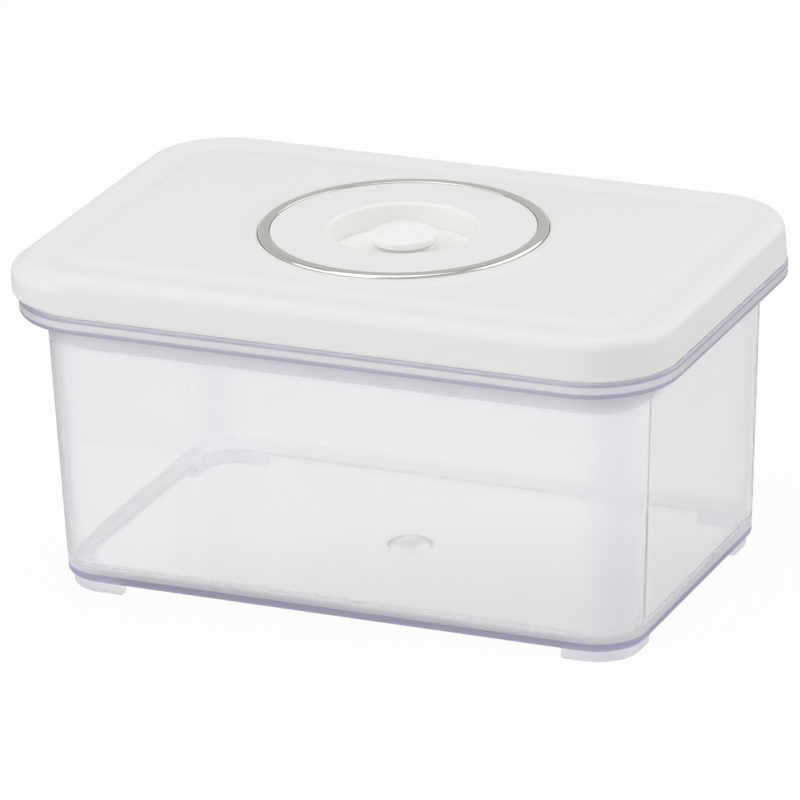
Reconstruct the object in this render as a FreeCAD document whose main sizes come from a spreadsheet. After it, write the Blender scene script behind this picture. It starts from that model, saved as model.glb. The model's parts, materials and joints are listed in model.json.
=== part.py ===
import FreeCAD
import Part
import math
import os
from collections import namedtuple
from enum import IntEnum

import Sketcher

# Vacuum seal canister: a clear rectangular tub with a white lid. A pump sits on the round seat in the
# lid and draws air out through the valve in the seat's well. Lifting the valve button lets air back in.
# Millimetres. Origin under the middle of the tub, on the table; +X along the tub, +Z up.

SIZES = {
    # Tub, whose wall stands in from the rim and leans in further towards its base
    "rim_overhang": 7.5,
    "wall_lean": 3.3,
    "tub_wall": 2.0,
    "tub_floor": 2.6,
    "floor_round": 4.0,
    "base_round": 1.4,
    # Rim of the tub, an inverted channel round its mouth
    "rim_length": 196.0,
    "rim_width": 129.6,
    "rim_corner": 24.6,
    "rim_underside": 81.8,
    "rim_height": 4.7,
    "rim_ledge": 1.6,
    "rim_lip": 2.2,
    "rim_top_round": 0.8,
    "rim_low_round": 1.2,
    # Feet under the tub's corners, and the lens where the plastic was let in
    "foot_height": 3.4,
    "foot_inset": 1.6,
    "foot_thickness": 3.6,
    "foot_run": 6.6,
    "gate_radius": 6.5,
    "gate_depth": 1.0,
    "gate_dome": 0.8,
    # Lid shell: skirt, round shoulder, shallow valley and plateau
    "lid_gap": 0.2,
    "lid_inset": 0.2,
    "lid_wall": 2.2,
    "lid_draft": 0.6,
    "lid_round": 4.0,
    "lid_height": 12.2,
    "lid_skin": 2.4,
    "valley_inset": 12.0,
    "valley_depth": 0.9,
    "plateau_inset": 17.5,
    "plateau_rise": 1.2,
    "mound_run": 6.1,
    "mound_rise": 1.0,
    "mound_lip": 0.6,
    # Pull lip along one end of the skirt
    "pull_reach": 2.4,
    "pull_sink": 0.7,
    "pull_height": 9.0,
    "pull_top_round": 2.8,
    "pull_low_round": 2.0,
    # Bright trim ring, let into the lid
    "ring_radius": 40.9,
    "ring_width": 3.2,
    "ring_stand": 0.8,
    "ring_depth": 1.6,
    "ring_round": 0.9,
    "ring_ease": 0.35,
    "ring_fit": 0.15,
    # Pump seat: flat disc with the well in its middle, snapped into the lid's hole
    "hole_ledge": 3.3,
    "seat_drop": 0.3,
    "seat_fit": 0.15,
    "spigot_fit": 0.2,
    "spigot_wall": 2.0,
    "spigot_depth": 4.6,
    "snap_reach": 0.6,
    "snap_height": 1.0,
    "snap_fit": 0.2,
    "well_radius": 20.4,
    "well_draft": 0.4,
    "well_round": 1.2,
    "well_wall": 2.0,
    "well_depth": 7.1,
    "well_gap": 0.4,
    # Valve plate, the floor of the well, on its seal
    "plate_radius": 25.0,
    "plate_skin": 2.0,
    "plate_fit": 0.2,
    "plate_ledge": 3.0,
    "plate_seal_height": 1.0,
    "plate_seal_play": 0.3,
    "vent_radius": 1.2,
    "vent_ring": 5.6,
    "land_radius": 7.8,
    "land_width": 0.8,
    "land_height": 0.5,
    "guide_wall": 1.9,
    "guide_length": 3.0,
    # Valve button, its seal, spring and retaining clip
    "cap_radius": 9.3,
    "cap_height": 2.7,
    "cap_drop": 1.3,
    "cap_round": 1.1,
    "dimple_radius": 4.6,
    "dimple_round": 0.8,
    "dimple_depth": 0.5,
    "neck_radius": 5.0,
    "stem_radius": 2.0,
    "stem_fit": 0.2,
    "stem_tail": 0.8,
    "valve_gap": 0.1,
    "valve_seal_radius": 8.4,
    "valve_seal_height": 1.2,
    "valve_seal_lip": 0.4,
    "valve_seal_fit": 0.1,
    "spring_radius": 3.2,
    "spring_wire": 0.6,
    "spring_length": 5.0,
    "spring_gap": 0.1,
    "clip_radius": 4.4,
    "clip_height": 1.0,
    "clip_groove": 0.4,
    "clip_fit": 0.1,
    # Liner, the plug under the lid, and the gasket round it
    "plug_gap": 1.3,
    "plug_depth": 13.4,
    "liner_skin": 2.0,
    "liner_wall": 2.0,
    "groove_depth": 2.2,
    "groove_height": 4.4,
    "low_rib": 4.2,
    "rib_land": 0.6,
    "high_rib": 4.6,
    "boss_rim": 1.4,
    "boss_lap": 1.2,
    "web": 1.8,
    "web_gap": 1.5,
    "inlet_radius": 2.5,
    "inlet_ring": 13.0,
    "gasket_body": 1.6,
    "gasket_fit": 0.1,
    "gasket_lip": 0.6,
    "gasket_lip_height": 0.9,
    # How far a cut runs past the face it starts from
    "overrun": 1.0,
}

VENTS = 6
INLETS = 8
SPRING_TURNS = 3

ORIGIN_POINT = (-1, 1)
AXIS_LINE = {"DistanceX": -2, "DistanceY": -1}
Point = IntEnum("Point", "START END CENTRE")
TOLERANCE = 1e-4

doc = FreeCAD.newDocument("canister")
sheet = doc.addObject("Spreadsheet::Sheet", "Sizes")
for row, (name, value) in enumerate(SIZES.items(), start=1):
    sheet.set(f"A{row}", name.replace("_", " "))
    sheet.set(f"B{row}", str(value))
    sheet.setAlias(f"B{row}", name)
doc.recompute()


class Size:
    """A length: its value, and the formula that binds it to the sheet's cells."""

    def __init__(self, value, formula):
        self.value = value
        self.formula = formula

    @staticmethod
    def of(other):
        return other if isinstance(other, Size) else Size(other, str(other))

    def __add__(self, other):
        other = Size.of(other)
        return Size(self.value + other.value, f"({self.formula} + {other.formula})")

    def __sub__(self, other):
        other = Size.of(other)
        return Size(self.value - other.value, f"({self.formula} - {other.formula})")

    def __mul__(self, other):
        other = Size.of(other)
        return Size(self.value * other.value, f"({self.formula} * {other.formula})")

    def __truediv__(self, other):
        other = Size.of(other)
        return Size(self.value / other.value, f"({self.formula} / {other.formula})")

    def __neg__(self):
        return Size(-self.value, f"(0 - {self.formula})")

    __radd__ = __add__
    __rmul__ = __mul__


class Cells:
    """Reads a named cell of the sheet as a Size."""

    def __getattr__(self, name):
        return Size(float(sheet.get(name)), f"Sizes.{name}")


at = Cells()
ZERO = Size(0.0, "0")

# Heights above the table that several pieces share
floor_top = at.foot_height + at.tub_floor
rim_top = at.rim_underside + at.rim_height
skirt_foot = rim_top + at.lid_gap
ridge_top = rim_top + at.lid_height
valley_top = ridge_top - at.valley_depth
plateau_top = valley_top + at.plateau_rise
lid_underside = valley_top - at.lid_skin
mound_top = plateau_top + at.mound_rise
ring_ledge = mound_top - at.ring_depth
ring_top = mound_top + at.ring_stand
seat_top = ring_top - at.seat_drop
well_floor = seat_top - at.well_depth
plate_underside = well_floor - at.plate_skin
plate_seat = plate_underside - at.plate_seal_height
guide_end = plate_underside - at.guide_length
clip_top = guide_end - at.spring_length
valve_seal_foot = well_floor + at.land_height + at.valve_gap
valve_seal_top = valve_seal_foot + at.valve_seal_height
cap_top = seat_top - at.cap_drop
cap_foot = cap_top - at.cap_height
plug_foot = rim_top - at.plug_depth
groove_foot = plug_foot + at.low_rib
groove_top = groove_foot + at.groove_height

# Outlines that several pieces share; the mouth and the base are the outside of the tub's wall
mouth_length = at.rim_length - 2 * at.rim_overhang
mouth_width = at.rim_width - 2 * at.rim_overhang
mouth_corner = at.rim_corner - at.rim_overhang
base_length = mouth_length - 2 * at.wall_lean
base_width = mouth_width - 2 * at.wall_lean
base_corner = mouth_corner - at.wall_lean
lid_length = at.rim_length - 2 * at.lid_inset
lid_width = at.rim_width - 2 * at.lid_inset
lid_corner = at.rim_corner - at.lid_inset
plug_length = mouth_length - 2 * (at.tub_wall + at.plug_gap)
plug_width = mouth_width - 2 * (at.tub_wall + at.plug_gap)
plug_corner = mouth_corner - at.tub_wall - at.plug_gap
mound_radius = at.ring_radius + at.mound_run
ring_inside = at.ring_radius - at.ring_width
hole_radius = ring_inside - at.hole_ledge
spigot_radius = hole_radius - at.spigot_fit


# A corner of an outline. From one with a centre an arc runs on, and held says which coordinate that is.
Corner = namedtuple("Corner", "x y held centre", defaults=(None, None))


def arc_x(x, y, centre):
    """A corner of an outline from which an arc runs on, with its centre at this x."""
    return Corner(x, y, "DistanceX", centre)


def arc_y(x, y, centre):
    """A corner of an outline from which an arc runs on, with its centre at this y."""
    return Corner(x, y, "DistanceY", centre)


def s_curve(x0, y0, x1, y1):
    """Two equal arcs, level at both ends, from the first point to just before the second."""
    middle_x, middle_y = (x0 + x1) / 2, (y0 + y1) / 2
    return [arc_x(x0, y0, x0), arc_x(middle_x, middle_y, x1)]


def rounded_box(length, width, corner, shift=ZERO):
    """Corners of a rectangle with round corners, starting halfway up its right side."""
    x, y = length / 2, width / 2
    right, left, back, front = x + shift, shift - x, y, -y
    return [
        (right, ZERO),
        arc_y(right, back - corner, back - corner),
        (right - corner, back),
        arc_x(left + corner, back, left + corner),
        (left, back - corner),
        arc_y(left, front + corner, front + corner),
        (left + corner, front),
        arc_x(right - corner, front, right - corner),
        (right, front + corner),
    ]


def inset_box(length, width, corner, inset):
    """A rounded box drawn in by the same amount all round."""
    return rounded_box(length - 2 * inset, width - 2 * inset, corner - inset)


def hold(sketch, geometry, point, kind, place):
    """Holds one coordinate of a sketch's point at a length from the sketch's origin."""
    if place is ZERO:
        sketch.addConstraint(Sketcher.Constraint("PointOnObject", geometry, point, AXIS_LINE[kind]))
        return
    if place.value < 0:
        ends, place = (geometry, point, *ORIGIN_POINT), -place
    else:
        ends = (*ORIGIN_POINT, geometry, point)
    index = sketch.addConstraint(Sketcher.Constraint(kind, *ends, place.value))
    sketch.setExpression(f"Constraints[{index}]", place.formula)


def arc_through(first, second, kind, centre):
    """The shorter arc between two points whose centre has the given x or y, and which end it starts at."""
    (ax, ay), (bx, by) = first, second
    chord = (bx * bx + by * by - ax * ax - ay * ay) / 2
    if kind == "DistanceX":
        cx, cy = centre, (chord - centre * (bx - ax)) / (by - ay)
    else:
        cx, cy = (chord - centre * (by - ay)) / (bx - ax), centre
    circle = Part.Circle(FreeCAD.Vector(cx, cy, 0), FreeCAD.Vector(0, 0, 1), math.hypot(ax - cx, ay - cy))
    start, stop = math.atan2(ay - cy, ax - cx), math.atan2(by - cy, bx - cx)
    if (ax - cx) * (by - cy) > (ay - cy) * (bx - cx):
        return Part.ArcOfCircle(circle, start, stop), Point.START, Point.END
    return Part.ArcOfCircle(circle, stop, start), Point.END, Point.START


def draw(sketch, corners, closed=True):
    """Draws an outline of straight lines and arcs, with every corner bound to the sheet."""
    corners = [Corner(*corner) for corner in corners]
    places = [(corner.x.value, corner.y.value) for corner in corners]
    ends = []
    for corner, here, there in zip(corners, places, places[1:] + (places[:1] if closed else [])):
        if corner.centre:
            arc, first, last = arc_through(here, there, corner.held, corner.centre.value)
            ends.append((sketch.addGeometry(arc), first, last))
        else:
            line = Part.LineSegment(FreeCAD.Vector(*here, 0), FreeCAD.Vector(*there, 0))
            ends.append((sketch.addGeometry(line), Point.START, Point.END))
    for (before, _, last), (after, first, _) in zip(ends, ends[1:] + (ends[:1] if closed else [])):
        sketch.addConstraint(Sketcher.Constraint("Coincident", before, last, after, first))
    points = [(geometry, first) for geometry, first, _ in ends]
    if not closed:
        geometry, _, last = ends[-1]
        points.append((geometry, last))
    for corner, (geometry, point) in zip(corners, points):
        hold(sketch, geometry, point, "DistanceX", corner.x)
        hold(sketch, geometry, point, "DistanceY", corner.y)
        if corner.centre:
            hold(sketch, geometry, Point.CENTRE, corner.held, corner.centre)


def draw_circle(sketch, x, y, radius):
    """Draws a circle about a point of the sketch."""
    centre = FreeCAD.Vector(x.value, y.value, 0)
    geometry = sketch.addGeometry(Part.Circle(centre, FreeCAD.Vector(0, 0, 1), radius.value))
    hold(sketch, geometry, Point.CENTRE, "DistanceX", x)
    hold(sketch, geometry, Point.CENTRE, "DistanceY", y)
    index = sketch.addConstraint(Sketcher.Constraint("Radius", geometry, radius.value))
    sketch.setExpression(f"Constraints[{index}]", radius.formula)


def new_body(label):
    """A new sub-part."""
    body = doc.addObject("PartDesign::Body", label)
    body.Label = label
    return body


def origin_feature(body, role):
    """One of the body's own base planes or axes."""
    return next(feature for feature in body.Origin.OriginFeatures if feature.Role == role)


def new_sketch(body, name, plane, distance=ZERO):
    """An empty sketch on one of the body's base planes, or at a distance along its normal."""
    sketch = body.newObject("Sketcher::SketchObject", f"{body.Label}_{name}")
    sketch.AttachmentSupport = [(origin_feature(body, plane), "")]
    sketch.MapMode = "FlatFace"
    if distance is not ZERO:
        sketch.setExpression("AttachmentOffset.Base.z", distance.formula)
    return sketch


def level_outline(body, name, height, *outlines):
    """A level sketch at a height that holds the given outlines."""
    sketch = new_sketch(body, name, "XY_Plane", height)
    for corners in outlines:
        draw(sketch, corners)
    return sketch


def carry(body, name, section, path):
    """Adds a section carried along a path."""
    feature = body.newObject("PartDesign::AdditivePipe", f"{body.Label}_{name}_pipe")
    feature.Profile = section
    feature.Spine = (path, [f"Edge{number + 1}" for number in range(path.GeometryCount)])
    return feature


def pad(body, name, foot, top, *outlines):
    """Adds the outlines, raised from one height to another."""
    feature = body.newObject("PartDesign::Pad", f"{body.Label}_{name}_pad")
    feature.Profile = level_outline(body, name, foot, *outlines)
    feature.setExpression("Length", (top - foot).formula)
    return feature


def cut(body, name, foot, top, *outlines):
    """Cuts the outlines away from one height up to another."""
    feature = body.newObject("PartDesign::Pocket", f"{body.Label}_{name}_cut")
    feature.Profile = level_outline(body, name, foot, *outlines)
    feature.setExpression("Length", (top - foot).formula)
    feature.Reversed = True
    return feature


def loft(body, kind, name, foot, foot_outline, top, top_outline):
    """Adds or cuts the ruled form between two level outlines."""
    feature = body.newObject(f"PartDesign::{kind}Loft", f"{body.Label}_{name}_loft")
    feature.Profile = level_outline(body, f"{name}_low", foot, foot_outline)
    feature.Sections = [level_outline(body, f"{name}_high", top, top_outline)]
    feature.Ruled = True
    return feature


def turn(body, kind, name, corners):
    """Turns an outline of radius and height about the upright axis, to add it or to cut it away."""
    feature = body.newObject(f"PartDesign::{kind}", f"{body.Label}_{name}_turn")
    sketch = new_sketch(body, name, "XZ_Plane")
    draw(sketch, corners)
    feature.Profile = sketch
    feature.ReferenceAxis = (sketch, ["V_Axis"])
    feature.Angle = 360
    return feature


def drill_ring(body, name, top, depth, ring, radius, count):
    """Cuts a ring of round holes down from a height."""
    sketch = new_sketch(body, name, "XY_Plane", top)
    draw_circle(sketch, ring, ZERO, radius)
    hole = body.newObject("PartDesign::Pocket", f"{body.Label}_{name}_hole")
    hole.Profile = sketch
    hole.setExpression("Length", depth.formula)
    pattern = body.newObject("PartDesign::PolarPattern", f"{body.Label}_{name}_ring")
    pattern.Originals = [hole]
    pattern.Axis = (origin_feature(body, "Z_Axis"), [""])
    pattern.Angle = 360
    pattern.Occurrences = count
    body.Tip = pattern
    return pattern


def round_edges(body, name, radius, wanted):
    """Rounds each edge of the body so far that the test wants."""
    doc.recompute()
    base = body.Tip
    edges = [f"Edge{number}" for number, edge in enumerate(base.Shape.Edges, start=1) if wanted(edge)]
    feature = body.newObject("PartDesign::Fillet", f"{body.Label}_{name}_round")
    feature.Base = (base, edges)
    feature.setExpression("Radius", radius.formula)
    return feature


def level_at(edge, height):
    """Whether an edge lies level at a height."""
    box = edge.BoundBox
    return abs(box.ZMin - height.value) < TOLERANCE and abs(box.ZMax - height.value) < TOLERANCE


def outside(edge, length, width):
    """Whether an edge lies outside a rectangle about the origin."""
    return all(abs(v.X) > length.value / 2 or abs(v.Y) > width.value / 2 for v in edge.Vertexes)


def foot_outline(side_x, side_y):
    """One corner foot: a band that follows the base's corner and runs on a little along both sides."""
    corner = base_corner - at.foot_inset
    inner = corner - at.foot_thickness
    centre_x, centre_y = base_length / 2 - base_corner, base_width / 2 - base_corner
    run_x, run_y = centre_x - at.foot_run, centre_y - at.foot_run
    shape = [
        (run_x, centre_y + corner),
        (run_x, centre_y + inner),
        arc_x(centre_x, centre_y + inner, centre_x),
        (centre_x + inner, centre_y),
        (centre_x + inner, run_y),
        (centre_x + corner, run_y),
        arc_y(centre_x + corner, centre_y, centre_y),
        (centre_x, centre_y + corner),
    ]

    def mirrored(place, kind):
        side = side_x if kind == "DistanceX" else side_y
        return place if side > 0 else -place

    corners = []
    for x, y, *arc in shape:
        ending = [arc[0], mirrored(arc[1], arc[0])] if arc else []
        corners.append((mirrored(x, "DistanceX"), mirrored(y, "DistanceY"), *ending))
    return corners


def make_tub():
    """Clear tub: drafted walls, rim with a turned-down lip, corner feet and the moulding lens."""
    body = new_body("tub")
    base = rounded_box(base_length, base_width, base_corner)
    mouth = rounded_box(mouth_length, mouth_width, mouth_corner)
    loft(body, "Additive", "wall", at.foot_height, base, at.rim_underside, mouth)
    pad(body, "rim", at.rim_underside, rim_top, rounded_box(at.rim_length, at.rim_width, at.rim_corner))
    hollow_base = inset_box(base_length, base_width, base_corner, at.tub_wall)
    hollow_mouth = inset_box(mouth_length, mouth_width, mouth_corner, at.tub_wall)
    loft(body, "Subtractive", "hollow", floor_top, hollow_base, rim_top, hollow_mouth)
    round_edges(body, "floor", at.floor_round, lambda edge: level_at(edge, floor_top))
    round_edges(body, "base", at.base_round, lambda edge: level_at(edge, at.foot_height))
    lip = inset_box(at.rim_length, at.rim_width, at.rim_corner, at.rim_lip)
    cut(body, "channel", at.rim_underside, rim_top - at.rim_ledge, lip, mouth)
    lip_length, lip_width = at.rim_length - at.rim_lip, at.rim_width - at.rim_lip
    round_edges(body, "rim_top", at.rim_top_round,
                lambda edge: level_at(edge, rim_top) and outside(edge, lip_length, lip_width))
    round_edges(body, "rim_low", at.rim_low_round,
                lambda edge: level_at(edge, at.rim_underside) and outside(edge, lip_length, lip_width))
    feet = [foot_outline(side_x, side_y) for side_x in (1, -1) for side_y in (1, -1)]
    pad(body, "feet", ZERO, at.foot_height, *feet)
    turn(body, "Groove", "gate", [
        (ZERO, at.foot_height),
        arc_x(at.gate_radius, at.foot_height, ZERO),
        (ZERO, at.foot_height + at.gate_depth),
    ])
    turn(body, "Revolution", "lens", [
        (ZERO, floor_top),
        arc_x(at.gate_radius, floor_top, ZERO),
        (ZERO, floor_top + at.gate_dome),
    ])
    return body


def make_lid_shell():
    """White lid: a rim section carried round the outline, the plateau, the mound and the pull lip."""
    body = new_body("lid_shell")
    path = level_outline(body, "path", ZERO, rounded_box(lid_length, lid_width, lid_corner))
    section = new_sketch(body, "section", "XZ_Plane")
    edge = lid_length / 2
    shoulder, ridge = edge - at.lid_draft, edge - at.lid_draft - at.lid_round
    valley, plateau = edge - at.valley_inset, edge - at.plateau_inset
    draw(section, [
        (edge, skirt_foot),
        arc_y(shoulder, ridge_top - at.lid_round, ridge_top - at.lid_round),
        *s_curve(ridge, ridge_top, valley, valley_top),
        *s_curve(valley, valley_top, plateau, plateau_top),
        (plateau, plateau_top),
        (plateau, lid_underside),
        (shoulder - at.lid_wall, lid_underside),
        (edge - at.lid_wall, skirt_foot),
    ])
    carry(body, "rim", section, path)
    pad(body, "plateau", lid_underside, plateau_top,
        inset_box(lid_length, lid_width, lid_corner, at.plateau_inset))
    hole = at.ring_radius + at.ring_fit
    turn(body, "Revolution", "mound", [
        (hole - at.overrun, lid_underside),
        (mound_radius, lid_underside),
        (mound_radius, plateau_top),
        *s_curve(mound_radius, plateau_top, hole + at.mound_lip, mound_top)[1:],
        (hole + at.mound_lip, mound_top),
        (hole - at.overrun, mound_top),
    ])
    turn(body, "Groove", "hole", [
        (ZERO, lid_underside - at.overrun),
        (hole_radius, lid_underside - at.overrun),
        (hole_radius, ring_ledge),
        (hole, ring_ledge),
        (hole, mound_top + at.overrun),
        (ZERO, mound_top + at.overrun),
    ])
    make_pull_lip(body)
    return body


def make_pull_lip(body):
    """A lip for the fingers: the skirt's outline shifted outwards at one end, sunk into the long sides."""
    x, y = lid_length / 2 + at.pull_reach, lid_width / 2 - at.pull_sink
    straight = lid_width / 2 - lid_corner
    bend = x - lid_corner + at.pull_sink
    path = new_sketch(body, "pull_path", "XY_Plane", skirt_foot)
    draw(path, [
        arc_x(-bend, y, -bend),
        (-x, straight),
        arc_y(-x, -straight, -straight),
        (-bend, -y),
    ], closed=False)
    foot, top = skirt_foot, skirt_foot + at.pull_height
    inside = y - at.pull_reach - at.lid_wall / 2
    section = new_sketch(body, "pull_section", "YZ_Plane", -bend)
    draw(section, [
        (inside, foot),
        arc_x(y - at.pull_low_round, foot, y - at.pull_low_round),
        (y, foot + at.pull_low_round),
        arc_y(y, top - at.pull_top_round, top - at.pull_top_round),
        (y - at.pull_top_round, top),
        (inside, top),
    ])
    carry(body, "pull", section, path)
    skirt_inside = inset_box(lid_length, lid_width, lid_corner, at.lid_wall + at.lid_draft)
    cut(body, "skirt", skirt_foot, lid_underside, skirt_inside)


def make_trim_ring():
    """Bright ring with a rounded outer shoulder and an eased inner edge."""
    body = new_body("trim_ring")
    outer = at.ring_radius
    turn(body, "Revolution", "section", [
        (ring_inside, ring_ledge),
        (outer, ring_ledge),
        arc_y(outer, ring_top - at.ring_round, ring_top - at.ring_round),
        (outer - at.ring_round, ring_top),
        arc_x(ring_inside + at.ring_ease, ring_top, ring_inside + at.ring_ease),
        (ring_inside, ring_top - at.ring_ease),
    ])
    return body


def make_pump_seat():
    """White disc the pump stands on: the well in its middle, and a spigot with a snap bead under it."""
    body = new_body("pump_seat")
    outer = ring_inside - at.seat_fit
    wall_foot = well_floor + at.well_gap
    mouth = at.well_radius + at.well_draft
    spigot_foot = ring_ledge - at.spigot_depth
    bead_top = lid_underside - at.snap_fit
    bead = hole_radius + at.snap_reach
    turn(body, "Revolution", "section", [
        (at.well_radius, wall_foot),
        (at.well_radius + at.well_wall, wall_foot),
        (mouth + at.well_wall, ring_ledge),
        (spigot_radius - at.spigot_wall, ring_ledge),
        (spigot_radius - at.spigot_wall, spigot_foot),
        (spigot_radius, spigot_foot),
        (bead, bead_top - at.snap_height),
        (spigot_radius, bead_top),
        (spigot_radius, ring_ledge),
        (outer, ring_ledge),
        (outer, seat_top),
        arc_x(mouth + at.well_round, seat_top, mouth + at.well_round),
        (mouth, seat_top - at.well_round),
    ])
    return body


def make_valve_plate():
    """Floor of the well: a disc with a raised sealing land, vents under the seal and a guide for the stem."""
    body = new_body("valve_plate")
    bore = at.stem_radius + at.stem_fit
    guide = bore + at.guide_wall
    land_inside = at.land_radius - at.land_width
    land_top = well_floor + at.land_height
    turn(body, "Revolution", "section", [
        (bore, guide_end),
        (guide, guide_end),
        (guide, plate_underside),
        (at.plate_radius, plate_underside),
        (at.plate_radius, well_floor),
        (at.land_radius, well_floor),
        (at.land_radius, land_top),
        (land_inside, land_top),
        (land_inside, well_floor),
        (bore, well_floor),
    ])
    drill_ring(body, "vents", well_floor, at.plate_skin, at.vent_ring, at.vent_radius, VENTS)
    return body


def make_plate_seal():
    """Flat ring between the valve plate and the liner's boss."""
    body = new_body("plate_seal")
    inside = at.plate_radius - at.plate_ledge + at.plate_seal_play
    outside_radius = at.plate_radius - at.plate_seal_play
    turn(body, "Revolution", "section", [
        (inside, plate_seat),
        (outside_radius, plate_seat),
        (outside_radius, plate_underside),
        (inside, plate_underside),
    ])
    return body


def make_lid_liner():
    """Plug under the lid: a tray with a gasket groove round it, a boss for the valve plate and webs."""
    body = new_body("lid_liner")
    core = inset_box(plug_length, plug_width, plug_corner, at.groove_depth)
    core_length, core_width = plug_length - at.groove_depth, plug_width - at.groove_depth
    rib = rounded_box(plug_length, plug_width, plug_corner)
    tray_floor = plug_foot + at.liner_skin
    pad(body, "core", plug_foot, lid_underside, core)
    pad(body, "low_rib", plug_foot, groove_foot, rib)
    round_edges(body, "lead_in", at.low_rib - at.rib_land,
                lambda edge: level_at(edge, plug_foot) and outside(edge, core_length, core_width))
    pad(body, "high_rib", groove_top, groove_top + at.high_rib, rib)
    tray = inset_box(plug_length, plug_width, plug_corner, at.groove_depth + at.liner_wall)
    cut(body, "tray", tray_floor, lid_underside, tray)
    boss_inside = at.plate_radius - at.plate_ledge
    rebate = at.plate_radius + at.plate_fit
    boss_outside = rebate + at.boss_rim
    boss_top = plate_underside + at.boss_lap
    turn(body, "Revolution", "boss", [
        (boss_inside, tray_floor),
        (boss_outside, tray_floor),
        (boss_outside, boss_top),
        (rebate, boss_top),
        (rebate, plate_seat),
        (boss_inside, plate_seat),
    ])
    make_webs(body, tray_floor, boss_top, rebate + at.boss_rim / 2)
    drill_ring(body, "inlets", tray_floor, at.liner_skin, at.inlet_ring, at.inlet_radius, INLETS)
    return body


def make_webs(body, tray_floor, boss_top, reach):
    """Four webs that tie the boss to the tray's walls."""
    half = at.web / 2
    wall_x = plug_length / 2 - at.groove_depth - at.liner_wall / 2
    wall_y = plug_width / 2 - at.groove_depth - at.liner_wall / 2
    web_top = boss_top - at.web_gap
    along_x = [[(a, -half), (b, -half), (b, half), (a, half)] for a, b in ((reach, wall_x), (-wall_x, -reach))]
    along_y = [[(-half, a), (half, a), (half, b), (-half, b)] for a, b in ((reach, wall_y), (-wall_y, -reach))]
    pad(body, "webs", tray_floor, web_top, *along_x, *along_y)


def make_lid_gasket():
    """Soft ring in the liner's groove, with two lips towards the tub's wall."""
    body = new_body("lid_gasket")
    core_inset = at.groove_depth - at.gasket_fit
    inside = inset_box(plug_length, plug_width, plug_corner, core_inset)
    back = inset_box(plug_length, plug_width, plug_corner, core_inset - at.gasket_body)
    lip = inset_box(plug_length, plug_width, plug_corner, -at.gasket_lip)
    foot, top = groove_foot + at.gasket_fit, groove_top - at.gasket_fit
    pad(body, "back", foot, top, back, inside)
    pad(body, "low_lip", foot, foot + at.gasket_lip_height, lip, inside)
    pad(body, "high_lip", top - at.gasket_lip_height, top, lip, inside)
    return body


def make_valve_button():
    """Mushroom button: a dished cap to lift by, a neck, and a stem with a groove for the clip."""
    body = new_body("valve_button")
    clip_foot = clip_top - at.clip_height
    groove = at.stem_radius - at.clip_groove
    dimple_floor = cap_top - at.dimple_depth
    dimple_inside = at.dimple_radius - at.dimple_round
    rim = at.cap_radius - at.cap_round
    turn(body, "Revolution", "section", [
        (ZERO, clip_foot - at.stem_tail),
        (at.stem_radius, clip_foot - at.stem_tail),
        (at.stem_radius, clip_foot),
        (groove, clip_foot),
        (groove, clip_top),
        (at.stem_radius, clip_top),
        (at.stem_radius, valve_seal_top),
        (at.neck_radius, valve_seal_top),
        (at.neck_radius, cap_foot),
        arc_x(rim, cap_foot, rim),
        (at.cap_radius, cap_foot + at.cap_round),
        arc_y(at.cap_radius, cap_top - at.cap_round, cap_top - at.cap_round),
        (rim, cap_top),
        *s_curve(at.dimple_radius, cap_top, dimple_inside, dimple_floor),
        (dimple_inside, dimple_floor),
        (ZERO, dimple_floor),
    ])
    return body


def make_valve_seal():
    """Soft washer under the button's neck, with a lip that closes on the plate's land."""
    body = new_body("valve_seal")
    bore = at.stem_radius + at.valve_seal_fit
    lip_inside = at.land_radius - at.land_width - at.valve_seal_lip
    face = valve_seal_foot + at.valve_seal_lip
    turn(body, "Revolution", "section", [
        (bore, face),
        (lip_inside, face),
        (lip_inside, valve_seal_foot),
        (at.valve_seal_radius, valve_seal_foot),
        (at.valve_seal_radius, valve_seal_top - at.valve_seal_lip),
        (at.valve_seal_radius - at.valve_seal_lip, valve_seal_top),
        (bore, valve_seal_top),
    ])
    return body


def make_valve_spring():
    """Light coil spring between the plate's guide and the clip, as one unbroken wire."""
    body = new_body("valve_spring")
    sketch = new_sketch(body, "wire", "XZ_Plane")
    wire = at.spring_wire / 2
    low = clip_top + at.spring_gap + wire
    high = guide_end - at.spring_gap - wire
    draw_circle(sketch, at.spring_radius, low, wire)
    coil = body.newObject("PartDesign::AdditiveHelix", "valve_spring_coil")
    coil.Profile = sketch
    coil.ReferenceAxis = (sketch, ["V_Axis"])
    coil.Mode = "height-turns-angle"
    coil.setExpression("Height", (high - low).formula)
    coil.Turns = SPRING_TURNS
    return body


def make_valve_retainer():
    """Clip on the stem's groove, which the spring pushes down and which stops the lift."""
    body = new_body("valve_retainer")
    bore = at.stem_radius - at.clip_groove + at.clip_fit
    foot, top = clip_top - at.clip_height + at.clip_fit, clip_top
    turn(body, "Revolution", "section", [
        (bore, foot),
        (at.clip_radius, foot),
        (at.clip_radius, top),
        (bore, top),
    ])
    return body


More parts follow.
